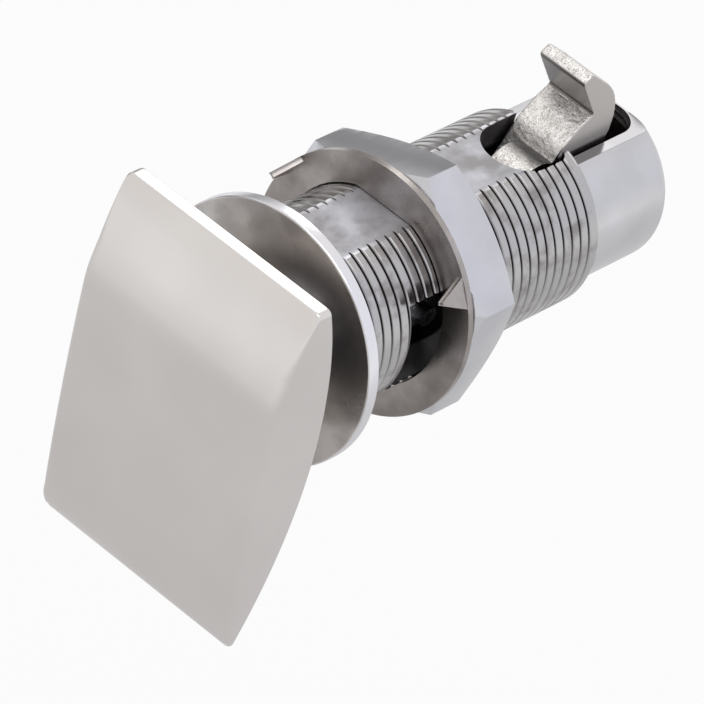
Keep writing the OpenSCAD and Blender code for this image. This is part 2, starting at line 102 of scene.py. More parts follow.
# Distance of a point from the barrel's axis, which is the object's own Y axis
def axisDistance(tree, place):
    across = addNode(tree, "VectorMath", [place, (1, 0, 1)], operation="MULTIPLY")
    return addNode(tree, "VectorMath", [across], "Value", operation="LENGTH")


# Mirror-polished stainless steel, buffed by hand: warm light grey, with faint cloudy wipes and a few hairlines
def polishedPlateSteel():
    look = {"steel": "#e5e2e0", "cloud": "#dfdbd9", "roughness": (0.14, 0.22), "cloudSize": 16 * mm,
            "hairline": 0.5 * mm, "hairDepth": 0.01 * mm}
    material, tree, shader, place = newMaterial("hand buffed stainless steel")
    clouds = addNode(tree, "TexNoise", {"Vector": place, "Scale": 1 / look["cloudSize"], "Detail": 2.0})
    drawn = addNode(tree, "Mapping", {"Vector": place, "Scale": (1, 1, 0.04)})
    hairs = addNode(tree, "TexNoise", {"Vector": drawn, "Scale": 1 / look["hairline"], "Detail": 2.0})
    setInputs(shader, {
        "Base Color": twoTone(tree, clouds, look["steel"], look["cloud"]),
        "Roughness": addNode(tree, "MapRange", [clouds, 0.3, 0.7, *look["roughness"]]),
        "Normal": addNode(tree, "Bump", {"Height": hairs, "Strength": 0.05, "Distance": look["hairDepth"]}),
    })
    return material


# Rolled and polished thread: bright crests with light stains, grooves darkened with painted shade that fades to
# a lighter tone below and on the left, painted near-black shade inside the bore, and two milled flats that are
# duller than the rest
def threadedBarrelSteel():
    look = {"crest": "#bdbcbd", "stain": "#8d8887", "grooveShade": "#1b1816", "shadeFaded": "#c2c0bf",
            "insideShade": "#0f0e0e", "flat": "#cccdd3", "flatStain": "#adabad", "crestRoughness": 0.17,
            "flatRoughness": 0.34, "oilRoughness": 0.25, "grooveRadius": (11.8 * mm, 11.92 * mm),
            "insideRadius": (8.7 * mm, 9.0 * mm), "flatHeight": (11.17 * mm, 11.19 * mm),
            "shadeFadesBelow": (-5 * mm, 5 * mm), "shadeFadesLeft": (-7 * mm, -3 * mm), "stainSize": 2.6 * mm,
            "grain": 0.35 * mm, "grainDepth": 0.02 * mm}
    material, tree, shader, place = newMaterial("rolled and polished thread steel")
    distance = axisDistance(tree, place)
    x = addNode(tree, "SeparateXYZ", [place], "X")
    z = addNode(tree, "SeparateXYZ", [place], "Z")
    height = addNode(tree, "Math", [z], operation="ABSOLUTE")
    onFlat = addNode(tree, "MapRange", [height, *look["flatHeight"], 0.0, 1.0])
    smeared = addNode(tree, "Mapping", {"Vector": place, "Scale": (1, 0.7, 1)})
    stains = addNode(tree, "TexNoise", {"Vector": smeared, "Scale": 1 / look["stainSize"], "Detail": 5.0})
    crest = twoTone(tree, stains, look["crest"], look["stain"], 0.5, 0.68, 0.8)
    flat = twoTone(tree, stains, look["flat"], look["flatStain"], 0.35, 0.65)
    outer = addNode(tree, "Mix", {0: onFlat, 6: crest, 7: flat}, 2, data_type="RGBA")
    # Painted shade: the grooves are painted dark, and the paint turns lighter below and on the left
    below = addNode(tree, "MapRange", [z, *look["shadeFadesBelow"], 1.0, 0.0])
    left = addNode(tree, "MapRange", [x, *look["shadeFadesLeft"], 1.0, 0.0])
    shadeFaded = addNode(tree, "Math", [below, left], operation="MAXIMUM")
    grooveShade = twoTone(tree, shadeFaded, look["grooveShade"], look["shadeFaded"], 0.0, 1.0)
    inGroove = addNode(tree, "MapRange", [distance, *look["grooveRadius"], 1.0, 0.0])
    offFlat = addNode(tree, "Math", [1.0, onFlat], operation="SUBTRACT")
    cut = addNode(tree, "Math", [inGroove, offFlat], operation="MULTIPLY")
    withGrooveShade = addNode(tree, "Mix", {0: cut, 6: outer, 7: grooveShade}, 2, data_type="RGBA")
    # Painted shade: inside the bore the colour goes near black and less metallic
    insideShade = addNode(tree, "MapRange", [distance, *look["insideRadius"], 1.0, 0.0])
    worked = addNode(tree, "MapRange", [onFlat, 0.0, 1.0, look["crestRoughness"], look["flatRoughness"]])
    stained = addNode(tree, "MapRange", [stains, 0.3, 0.7, -0.03, 0.1])
    oiled = addNode(tree, "MapRange", [inGroove, 0.0, 1.0, 0.0, look["oilRoughness"]])
    clean = addNode(tree, "Math", [worked, stained], operation="ADD")
    drawn = addNode(tree, "Mapping", {"Vector": place, "Scale": (1, 3, 1)})
    grain = addNode(tree, "TexNoise", {"Vector": drawn, "Scale": 1 / look["grain"], "Detail": 3.0})
    dark = hexColour(look["insideShade"])
    setInputs(shader, {
        "Base Color": addNode(tree, "Mix", {0: insideShade, 6: withGrooveShade, 7: dark}, 2, data_type="RGBA"),
        "Roughness": addNode(tree, "Math", [clean, oiled], operation="ADD"),
        "Metallic": addNode(tree, "MapRange", [insideShade, 0.0, 1.0, 1.0, 0.4]),
        "Normal": addNode(tree, "Bump", {"Height": grain, "Strength": 0.12, "Distance": look["grainDepth"]}),
    })
    return material


# Turned rose: its face lapped to a grey mottled mirror, its rim bright
def lappedRoseSteel():
    look = {"rim": "#ebebf0", "face": "#dedbd9", "mottle": "#bab7b5", "roughness": (0.19, 0.28),
            "faceY": (-1.55 * mm, -1.45 * mm), "mottleSize": 4.5 * mm, "scratch": 0.3 * mm,
            "cutDepth": 0.01 * mm}
    material, tree, shader, place = newMaterial("lapped and turned steel")
    y = addNode(tree, "SeparateXYZ", [place], "Y")
    onFace = addNode(tree, "MapRange", [y, *look["faceY"], 1.0, 0.0])
    mottles = addNode(tree, "TexNoise", {"Vector": place, "Scale": 1 / look["mottleSize"], "Detail": 6.0})
    face = twoTone(tree, mottles, look["face"], look["mottle"], 0.38, 0.62)
    drawn = addNode(tree, "Mapping", {"Vector": place, "Scale": (1, 1, 0.15)})
    scratch = addNode(tree, "TexNoise", {"Vector": drawn, "Scale": 1 / look["scratch"], "Detail": 2.0})
    rim = hexColour(look["rim"])
    setInputs(shader, {
        "Base Color": addNode(tree, "Mix", {0: onFace, 6: rim, 7: face}, 2, data_type="RGBA"),
        "Roughness": addNode(tree, "MapRange", [mottles, 0.3, 0.7, *look["roughness"]]),
        "Normal": addNode(tree, "Bump", {"Height": scratch, "Strength": 0.06, "Distance": look["cutDepth"]}),
    })
    return material


# Turned and polished tail: cool light grey, nearly a mirror, with faint turning rings and a duller milled flat,
# and painted near-black shade inside the bore
def polishedTailSteel():
    look = {"steel": "#d6d6da", "tint": "#cccccf", "milled": "#9b9a9c", "insideShade": "#0f0e0e",
            "roughness": (0.14, 0.22), "flatHeight": 9.35 * mm, "flatReach": (0.01 * mm, 0.03 * mm),
            "insideRadius": (8.45 * mm, 8.7 * mm), "cloudSize": 6 * mm, "ring": 0.8 * mm,
            "ringDepth": 0.01 * mm}
    material, tree, shader, place = newMaterial("turned and polished steel")
    distance = axisDistance(tree, place)
    y = addNode(tree, "SeparateXYZ", [place], "Y")
    z = addNode(tree, "SeparateXYZ", [place], "Z")
    clouds = addNode(tree, "TexNoise", {"Vector": place, "Scale": 1 / look["cloudSize"], "Detail": 2.0})
    rings = addNode(tree, "TexNoise", {"W": y, "Scale": 1 / look["ring"], "Detail": 2.0}, noise_dimensions="1D")
    turned = twoTone(tree, clouds, look["steel"], look["tint"])
    above = addNode(tree, "Math", [z, look["flatHeight"]], operation="SUBTRACT")
    off = addNode(tree, "Math", [above], operation="ABSOLUTE")
    milled = addNode(tree, "MapRange", [off, *look["flatReach"], 1.0, 0.0])
    outer = addNode(tree, "Mix", {0: milled, 6: turned, 7: hexColour(look["milled"])}, 2, data_type="RGBA")
    # Painted shade: inside the bore the colour goes near black and less metallic
    insideShade = addNode(tree, "MapRange", [distance, *look["insideRadius"], 1.0, 0.0])
    dark = hexColour(look["insideShade"])
    setInputs(shader, {
        "Base Color": addNode(tree, "Mix", {0: insideShade, 6: outer, 7: dark}, 2, data_type="RGBA"),
        "Roughness": addNode(tree, "MapRange", [clouds, 0.3, 0.7, *look["roughness"]]),
        "Metallic": addNode(tree, "MapRange", [insideShade, 0.0, 1.0, 1.0, 0.4]),
        "Normal": addNode(tree, "Bump", {"Height": rings, "Strength": 0.03, "Distance": look["ringDepth"]}),
    })
    return material


# Bright nickel-chromed brass nut: cool lilac grey, smooth, with a faint milled grain on its flats
def platedNutMetal():
    look = {"plate": "#d6d7dc", "tint": "#cacbd0", "roughness": (0.12, 0.24), "cloudSize": 7 * mm,
            "grain": 0.4 * mm, "grainDepth": 0.01 * mm}
    material, tree, shader, place = newMaterial("bright plated nut metal")
    clouds = addNode(tree, "TexNoise", {"Vector": place, "Scale": 1 / look["cloudSize"], "Detail": 3.0})
    drawn = addNode(tree, "Mapping", {"Vector": place, "Scale": (1, 0.1, 1)})
    grain = addNode(tree, "TexNoise", {"Vector": drawn, "Scale": 1 / look["grain"], "Detail": 2.0})
    setInputs(shader, {
        "Base Color": twoTone(tree, clouds, look["plate"], look["tint"]),
        "Roughness": addNode(tree, "MapRange", [clouds, 0.3, 0.7, *look["roughness"]]),
        "Normal": addNode(tree, "Bump", {"Height": grain, "Strength": 0.06, "Distance": look["grainDepth"]}),
    })
    return material


# Stamped sheet steel, tumbled: brownish grey with soft cloudy stains
def stampedSheetSteel():
    look = {"sheet": "#b8b3b0", "stain": "#8d8683", "roughness": (0.21, 0.37), "cloudSize": 5 * mm,
            "grain": 0.5 * mm, "grainDepth": 0.02 * mm}
    material, tree, shader, place = newMaterial("stamped sheet steel")
    clouds = addNode(tree, "TexNoise", {"Vector": place, "Scale": 1 / look["cloudSize"], "Detail": 5.0})
    grain = addNode(tree, "TexNoise", {"Vector": place, "Scale": 1 / look["grain"], "Detail": 3.0})
    setInputs(shader, {
        "Base Color": twoTone(tree, clouds, look["sheet"], look["stain"]),
        "Roughness": addNode(tree, "MapRange", [clouds, 0.3, 0.7, *look["roughness"]]),
        "Normal": addNode(tree, "Bump", {"Height": grain, "Strength": 0.08, "Distance": look["grainDepth"]}),
    })
    return material


# The claw's mouth is a flat that lies this far from the origin along this way
mouthWay = Vector((0.0, 0.817, 0.577))
mouthAt = 46.84


# Investment-cast steel, bead blasted: bright and finely pebbled, its sides and the claw's mouth ground smooth,
# with painted shade darkening the valley before the claw. The blasted grain is drawn coarser than real, so that
# it shows
def castHookSteel():
    look = {"peak": "#f0eeec", "pit": "#b3aeab", "side": "#c6c2bf", "mouth": "#868381", "valleyShade": "#2e2c2b",
            "roughness": (0.44, 0.27), "grain": 0.17 * mm, "grainDepth": 0.06 * mm, "blotch": 1.2 * mm,
            "valley": (0.0, 40.43 * mm, 9.8 * mm), "valleyShadeReach": (0.7 * mm, 2.4 * mm),
            "sideX": (3.4 * mm, 3.46 * mm), "mouthReach": (0.2 * mm, 0.3 * mm)}
    material, tree, shader, place = newMaterial("bead blasted cast steel")
    x = addNode(tree, "SeparateXYZ", [place], "X")
    across = addNode(tree, "Math", [x], operation="ABSOLUTE")
    onSide = addNode(tree, "MapRange", [across, *look["sideX"], 0.0, 1.0])
    reach = addNode(tree, "VectorMath", [place, mouthWay], "Value", operation="DOT_PRODUCT")
    beyond = addNode(tree, "Math", [reach, mouthAt * mm], operation="SUBTRACT")
    off = addNode(tree, "Math", [beyond], operation="ABSOLUTE")
    inMouth = addNode(tree, "MapRange", [off, *look["mouthReach"], 1.0, 0.0])
    smooth = addNode(tree, "Math", [onSide, inMouth], operation="MAXIMUM")
    pebbles = addNode(tree, "TexNoise", {"Vector": place, "Scale": 1 / look["grain"], "Detail": 3.0})
    blotches = addNode(tree, "TexNoise", {"Vector": place, "Scale": 1 / look["blotch"], "Detail": 2.0})
    faint = addNode(tree, "Math", [blotches, 0.4], operation="MULTIPLY")
    specks = addNode(tree, "Math", [pebbles, faint], operation="ADD")
    blasted = twoTone(tree, specks, look["pit"], look["peak"], 0.52, 0.78)
    # Painted shade: a dark patch round one point in the valley before the claw
    level = addNode(tree, "VectorMath", [place, (0, 1, 1)], operation="MULTIPLY")
    away = addNode(tree, "VectorMath", [level, look["valley"]], "Value", operation="DISTANCE")
    shadeShare = addNode(tree, "MapRange", [away, *look["valleyShadeReach"], 0.85, 0.0])
    cast = addNode(tree, "Mix", {0: shadeShare, 6: blasted, 7: hexColour(look["valleyShade"])}, 2, data_type="RGBA")
    ground = twoTone(tree, onSide, look["mouth"], look["side"], 0.0, 1.0)
    rough = addNode(tree, "Math", [1.0, smooth], operation="SUBTRACT")
    height = addNode(tree, "Math", [pebbles, rough], operation="MULTIPLY")
    setInputs(shader, {
        "Base Color": addNode(tree, "Mix", {0: smooth, 6: cast, 7: ground}, 2, data_type="RGBA"),
        "Roughness": addNode(tree, "MapRange", [smooth, 0.0, 1.0, *look["roughness"]]),
        "Normal": addNode(tree, "Bump", {"Height": height, "Strength": 0.9, "Distance": look["grainDepth"]}),
    })
    return material


# Turned stainless steel, left as machined: fine rings round the axis, satin
def machinedSteel():
    look = {"steel": "#a9a9ac", "tint": "#8f8f92", "roughness": (0.24, 0.38), "ring": 0.3 * mm,
            "ringDepth": 0.02 * mm}
    material, tree, shader, place = newMaterial("machined steel")
    y = addNode(tree, "SeparateXYZ", [place], "Y")
    rings = addNode(tree, "TexNoise", {"W": y, "Scale": 1 / look["ring"], "Detail": 3.0}, noise_dimensions="1D")
    setInputs(shader, {
        "Base Color": twoTone(tree, rings, look["steel"], look["tint"]),
        "Roughness": addNode(tree, "MapRange", [rings, 0.3, 0.7, *look["roughness"]]),
        "Normal": addNode(tree, "Bump", {"Height": rings, "Strength": 0.25, "Distance": look["ringDepth"]}),
    })
    return material


# Fine investment-cast steel of the inner carrier and clevis: darker, dull, slightly grainy
def fineCastSteel():
    look = {"steel": "#3a3837", "pit": "#242322", "roughness": (0.38, 0.52), "grain": 0.35 * mm,
            "grainDepth": 0.04 * mm}
    material, tree, shader, place = newMaterial("fine cast steel")
    grain = addNode(tree, "TexNoise", {"Vector": place, "Scale": 1 / look["grain"], "Detail": 3.0})
    setInputs(shader, {
        "Base Color": twoTone(tree, grain, look["pit"], look["steel"]),
        "Roughness": addNode(tree, "MapRange", [grain, 0.3, 0.7, *look["roughness"]]),
        "Normal": addNode(tree, "Bump", {"Height": grain, "Strength": 0.3, "Distance": look["grainDepth"]}),
    })
    return material


# Drawn stainless spring wire: smooth, with faint draw marks
def springWireSteel():
    look = {"wire": "#9c9a98", "mark": "#7e7c7a", "roughness": (0.22, 0.36), "markSize": 0.5 * mm}
    material, tree, shader, place = newMaterial("drawn spring wire")
    drawn = addNode(tree, "Mapping", {"Vector": place, "Scale": (1, 3, 1)})
    marks = addNode(tree, "TexNoise", {"Vector": drawn, "Scale": 1 / look["markSize"], "Detail": 3.0})
    setInputs(shader, {
        "Base Color": twoTone(tree, marks, look["wire"], look["mark"]),
        "Roughness": addNode(tree, "MapRange", [marks, 0.3, 0.7, *look["roughness"]]),
    })
    return material


# Black oxide on an alloy steel screw: nearly black, oily sheen with browner wear
def blackOxideSteel():
    look = {"oxide": "#232326", "wear": "#3a332e", "roughness": (0.36, 0.5), "wearSize": 0.8 * mm}
    material, tree, shader, place = newMaterial("black oxide steel", 0.7)
    wear = addNode(tree, "TexNoise", {"Vector": place, "Scale": 1 / look["wearSize"], "Detail": 4.0})
    setInputs(shader, {
        "Base Color": twoTone(tree, wear, look["oxide"], look["wear"]),
        "Roughness": addNode(tree, "MapRange", [wear, 0.3, 0.7, *look["roughness"]]),
    })
    return material


# Moulded nitrile rubber: matt black with a slight bloom
def nitrileRubber():
    look = {"rubber": "#1c1c1d", "bloom": "#2b2b2c", "roughness": (0.55, 0.7), "bloomSize": 0.6 * mm}
    material, tree, shader, place = newMaterial("moulded nitrile rubber", 0.0)
    bloom = addNode(tree, "TexNoise", {"Vector": place, "Scale": 1 / look["bloomSize"], "Detail": 3.0})
    setInputs(shader, {
        "Base Color": twoTone(tree, bloom, look["rubber"], look["bloom"]),
        "Roughness": addNode(tree, "MapRange", [bloom, 0.3, 0.7, *look["roughness"]]),
    })
    return material


materials = {
    "polished_steel": polishedTailSteel(),
    "thread": threadedBarrelSteel(),
    "rose": lappedRoseSteel(),
    "polished_plate": polishedPlateSteel(),
    "nut": platedNutMetal(),
    "turned_steel": machinedSteel(),
    "cast_steel": fineCastSteel(),
    "hook_casting": castHookSteel(),
    "stamped_steel": stampedSheetSteel(),
    "spring_wire": springWireSteel(),
    "black_steel": blackOxideSteel(),
    "seal_rubber": nitrileRubber(),
}
say("materials made")


# Mesh helpers. All coordinates are in millimetres in the latch's frame until a mesh is finished
def finishMesh(name, mesh, material, sharpAngle):
    form = bmesh.new()
    form.from_mesh(mesh)
    bmesh.ops.triangulate(form, faces=[f for f in form.faces if len(f.verts) > 4])
    form.to_mesh(mesh)
    form.free()
    mesh.transform(Matrix.Scale(mm, 4))
    mesh.materials.clear()
    mesh.materials.append(material)
    piece = bpy.data.objects.new(name, mesh)
    bpy.context.scene.collection.objects.link(piece)
    smoothByAngle(piece, sharpAngle)
    return piece


# Shades a piece smooth but for the edges sharper than the angle
def smoothByAngle(piece, sharpAngle):
    form = bmesh.new()
    form.from_mesh(piece.data)
    bmesh.ops.recalc_face_normals(form, faces=form.faces)
    for face in form.faces:
        face.smooth = True
    for edge in form.edges:
        edge.smooth = len(edge.link_faces) == 2 and edge.calc_face_angle(0) < math.radians(sharpAngle)
    form.to_mesh(piece.data)
    form.free()


def meshFrom(name, vertices, faces):
    mesh = bpy.data.meshes.new(name)
    mesh.from_pydata([tuple(v) for v in vertices], [], faces)
    mesh.validate()
    return mesh


def objectFrom(name, vertices, faces):
    piece = bpy.data.objects.new(name, meshFrom(name, vertices, faces))
    bpy.context.scene.collection.objects.link(piece)
    return piece


# A closed ring turned round the barrel's axis from an outline of (radius, y) points
def latheRing(outline, steps):
    vertices, faces = [], []
    count = len(outline)
    for i in range(steps):
        a = 2 * math.pi * i / steps
        vertices += [(r * math.cos(a), y, r * math.sin(a)) for r, y in outline]
    for i in range(steps):
        j = (i + 1) % steps
        for k in range(count):
            n = (k + 1) % count
            faces.append((i * count + k, i * count + n, j * count + n, j * count + k))
    return objectFrom("turned form", vertices, faces)


# A prism from an outline in u and v, from low to high in w, with a function that turns them to x, y and z
def prism(name, outline, low, high, place):
    count = len(outline)
    vertices = [place(u, v, low) for u, v in outline] + [place(u, v, high) for u, v in outline]
    faces = [tuple(range(count)), tuple(range(2 * count - 1, count - 1, -1))]
    faces += [(k, (k + 1) % count, count + (k + 1) % count, count + k) for k in range(count)]
    return objectFrom(name, vertices, faces)


def block(low, high):
    corners = [(low[0], low[1]), (high[0], low[1]), (high[0], high[1]), (low[0], high[1])]
    return prism("cut", corners, low[2], high[2], lambda u, v, w: (u, v, w))


def arcPoints(cx, cy, radius, start, end, steps):
    return [(cx + radius * math.cos(math.radians(start + (end - start) * i / steps)),
             cy + radius * math.sin(math.radians(start + (end - start) * i / steps))) for i in range(steps + 1)]


# Joins points that coincide and turns all faces outwards, as the cuts need
def consistent(piece):
    form = bmesh.new()
    form.from_mesh(piece.data)
    bmesh.ops.remove_doubles(form, verts=form.verts, dist=1e-4)
    bmesh.ops.recalc_face_normals(form, faces=form.faces)
    form.to_mesh(piece.data)
    form.free()


# Cuts or joins with a second object, which is then removed
def combine(piece, other, operation):
    consistent(piece)
    consistent(other)
    modifier = piece.modifiers.new(operation, "BOOLEAN")
    modifier.operation = operation
    modifier.solver = "EXACT"
    modifier.object = other
    applyModifiers(piece)
    bpy.data.objects.remove(other)


def applyModifiers(piece):
    bpy.context.view_layer.update()
    graph = bpy.context.evaluated_depsgraph_get()
    mesh = bpy.data.meshes.new_from_object(piece.evaluated_get(graph))
    piece.modifiers.clear()
    piece.data = mesh


def bevelEdges(piece, width, segments, sharpAngle):
    modifier = piece.modifiers.new("edges", "BEVEL")
    modifier.width = width
    modifier.segments = segments
    modifier.limit_method = "ANGLE"
    modifier.angle_limit = math.radians(sharpAngle)
    modifier.harden_normals = False
    applyModifiers(piece)


# Turns a form made of several cuts into a piece that rides on its body and stands for its CAD node
def seatForm(form, name, look, sharpAngle, body, node):
    mesh = form.data.copy()
    bpy.data.objects.remove(form)
    seat(finishMesh(name, mesh, materials[look], sharpAngle), body, node)


def seat(piece, body, node):
    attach(piece, body)
    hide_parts(node)


# Pull plate: polished all over. From the side its front has a soft fold near the top and a rounded lower end,
# its back is one shallow arc, and its long edges are rounded wider in front than behind
plateSizes = {
    "edgeThick": 1.9, "frontRise": 3.7, "fold": 11.8, "browRadius": 42.0, "faceRadius": 400.0, "chin": 3.6,
    "rearRise": 5.1, "foldSoft": 0.3, "corner": 0.7, "edge": 0.16, "frontRound": 1.2, "topRound": 0.25,
    "rearRound": 0.4, "roundStart": 1.5, "roundGrowth": 7.0, "browReach": 5.0, "leastThick": 0.5, "step": 0.15,
}


# Centre of an arc from p down to q that bulges towards the front
def arcCentre(p, q, radius):
    chord = Vector(q) - Vector(p)
    away = math.sqrt(radius ** 2 - (chord.length / 2) ** 2)
    return (Vector(p) + Vector(q)) / 2 + away / chord.length * Vector((-chord.y, chord.x))


def makePlate(size):
    low, high = (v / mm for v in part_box("pull_plate"))
    half, middleZ, halfWide = (high.z - low.z) / 2, (high.z + low.z) / 2, (high.x - low.x) / 2
    front = -size["edgeThick"] / 2
    middleY = high.y - size["rearRise"] + front
    fold = (front - size["frontRise"], size["fold"])
    brow = arcCentre((front, half), fold, size["browRadius"])
    face = arcCentre(fold, (front, -half), size["faceRadius"])
    backRadius = (half ** 2 + size["rearRise"] ** 2) / (2 * size["rearRise"])
    chinTop = size["chin"] - half

    def faceY(s):
        return face.x - math.sqrt(size["faceRadius"] ** 2 - (s - face.y) ** 2)

    chinY = faceY(chinTop) + size["chin"]

    # Front of the plate at a level: the rounded lower end, the long face, and near the fold the brow joins in
    def frontY(s):
        if s < chinTop:
            lower = chinY - math.sqrt(max(0.0, size["chin"] ** 2 - (s - chinTop) ** 2))
            return min(lower, rearY(s) - size["leastThick"])
        if s < size["fold"] - size["browReach"]:
            return faceY(s)
        flat, steep = faceY(s), brow.x - math.sqrt(size["browRadius"] ** 2 - (s - brow.y) ** 2)
        near = max(size["foldSoft"] - abs(flat - steep), 0.0) / size["foldSoft"]
        return max(flat, steep) + near ** 2 * size["foldSoft"] / 4

    def rearY(s):
        return size["rearRise"] - front - backRadius + math.sqrt(backRadius ** 2 - s ** 2)

    # One level cut through the plate: a rectangle with rounded corners, the front ones wider lower down
    def ring(s, inset):
        corner = size["corner"]
        past = max(0.0, abs(s) - half + corner)
        wide = halfWide - inset - corner + math.sqrt(max(0.0, corner ** 2 - past ** 2))
        ahead, behind = frontY(s) + inset, rearY(s) - inset
        room = (behind - ahead) * 0.48
        share = min(1.0, max(0.0, (half - s - size["roundStart"]) / size["roundGrowth"]))
        a = min(size["topRound"] + (size["frontRound"] - size["topRound"]) * share, room)
        b = min(size["rearRound"], room)
        points = (arcPoints(wide - b, behind - b, b, 0, 90, 6) + arcPoints(-wide + b, behind - b, b, 90, 180, 6)
                  + arcPoints(-wide + a, ahead + a, a, 180, 270, 10)
                  + arcPoints(wide - a, ahead + a, a, 270, 360, 10))
        return [(x, middleY + y, middleZ + s) for x, y in points]

    # Seven rings round the lower and the upper edge over, and a last one a little further in closes each end
    edge, rings = size["edge"], []
    for i in range(7):
        a = math.radians(15 * i)
        rings.append((-half + edge * (1 - math.sin(a)), edge * (1 - math.cos(a))))
    rings = [(-half, edge + 0.1)] + rings[::-1]
    count = round((2 * half - 2 * edge) / size["step"])
    inner = [(-half + edge + (2 * half - 2 * edge) * i / count, 0.0) for i in range(1, count)]
    rings = rings + inner + [(-s, inset) for s, inset in rings[::-1]]
    vertices, faces = [], []
    for s, inset in rings:
        vertices += ring(s, inset)
    width = len(vertices) // len(rings)
    for k in range(len(rings) - 1):
        for c in range(width):
            n = (c + 1) % width
            faces.append((k * width + c, k * width + n, (k + 1) * width + n, (k + 1) * width + c))
    faces += [tuple(range(width)), tuple(len(vertices) - 1 - c for c in range(width))]
    mesh = meshFrom("pull_plate_shell", vertices, faces)
    piece = finishMesh("pull_plate_shell", mesh, materials["polished_plate"], 60)
    seat(piece, "plunger", "pull_plate")


makePlate(plateSizes)
say("pull plate made")

# Barrel: rose, threaded body with two flats, and tail. It is one turned piece, shown as three meshes
barrelSizes = {
    "roseRadius": 16.05, "roseThick": 1.6, "roseEdge": 0.32, "roseBackEdge": 0.1, "bushBore": 8.0,
    "thread": 12.0, "depth": 0.24, "pitch": 1.5, "threadStart": 0.9, "threadEnd": 42.9, "fade": 0.5,
    "flat": 11.2, "bodyEnd": 43.1, "bodyChamfer": 0.3,
    "frontBore": 7.08, "webFront": 21.15, "webRear": 23.15, "webBore": 3.05, "rearBore": 8.4,
    "windowHalf": 6.1, "windowStart": 10.29,
    "tail": 10.7, "tailFlat": 9.35, "tailEnd": 57.87, "tailRound": 1.4, "tailOverlap": 0.05,
    "slotHalf": 3.95, "slotStart": 38.03, "slotEnd": 57.62, "slotCorner": 3.45, "slotEdge": 0.14,
    "pocketHalf": 4.4, "pocketShift": 0.5, "pocketStart": 33.83, "pocketEnd": 42.4, "pocketFloor": 4.6,
    "pocketCorner": 4.25, "frontCorner": 1.2,
}


# Share of the thread's depth at a phase of 0 to 1: a broad crest and a narrow groove
def threadCut(phase):
    stops = [(0.0, 0.0), (0.58, 0.0), (0.74, 1.0), (0.84, 1.0), (0.98, 0.0), (1.0, 0.0)]
    for (a, low), (b, high) in zip(stops, stops[1:]):
        if phase <= b:
            return low + (high - low) * (phase - a) / (b - a)
    return 0.0


# The threaded body: one helical sheet, with a row of points for each phase of each turn, and a disc at each
# end. The groove fades in and out at its ends
def threadedShell(size, columns=144):
    phases = [0.0, 0.55, 0.6, 0.72, 0.76, 0.83, 0.87, 0.97]
    turns = int(size["bodyEnd"] / size["pitch"]) + 2
    rows = [(turn, phase) for turn in range(-2, turns) for phase in phases]
    start, end, fade = size["threadStart"], size["threadEnd"], size["fade"]
    vertices, faces = [], []
    for turn, phase in rows:
        for c in range(columns + 1):
            share = c / columns
            a = -2 * math.pi * share
            y = (turn + phase + share) * size["pitch"]
            ramp = max(0.0, min(1.0, (y - start) / fade, (end - y) / fade))
            r = size["thread"] - size["depth"] * threadCut(phase) * ramp
            y = max(0.0, min(size["bodyEnd"], y))
            if y >= size["bodyEnd"]:
                r = size["thread"] - size["bodyChamfer"]
            vertices.append((r * math.cos(a), y, r * math.sin(a)))
    width = columns + 1
    for k in range(len(rows) - 1):
        for c in range(columns):
            faces.append((k * width + c, k * width + c + 1, (k + 1) * width + c + 1, (k + 1) * width + c))
    body = objectFrom("threaded_body", vertices, faces)
    form = bmesh.new()
    form.from_mesh(body.data)
    bmesh.ops.remove_doubles(form, verts=form.verts, dist=2e-3)
    bmesh.ops.dissolve_degenerate(form, edges=form.edges, dist=1e-3)
    for wanted in (0.0, size["bodyEnd"]):
        rim = [e for e in form.edges
               if len(e.link_faces) == 1 and all(abs(v.co.y - wanted) < 0.02 for v in e.verts)]
        bmesh.ops.contextual_create(form, geom=rim)
    bmesh.ops.recalc_face_normals(form, faces=form.faces)
    form.to_mesh(body.data)
    form.free()
    return body


# A long cutter with rounded corners, its front ones and its rear ones each with their own radius
def roundedSlot(half, start, end, frontRound, rearRound, low, high, shift=0.0):
    outline = (arcPoints(half - rearRound, end - rearRound, rearRound, 0, 90, 10)
               + arcPoints(-(half - rearRound), end - rearRound, rearRound, 90, 180, 10)
               + arcPoints(-(half - frontRound), start + frontRound, frontRound, 180, 270, 14)
               + arcPoints(half - frontRound, start + frontRound, frontRound, 270, 360, 14))
    return prism("cut", outline, low, high, lambda u, v, w: (u + shift, v, w))


# A solid cylinder on the barrel's axis, for cutting a bore
def bore(radius, start, end):
    return prism("cut", arcPoints(0, 0, radius, 0, 360, 128)[:-1], start, end, lambda u, v, w: (u, w, v))


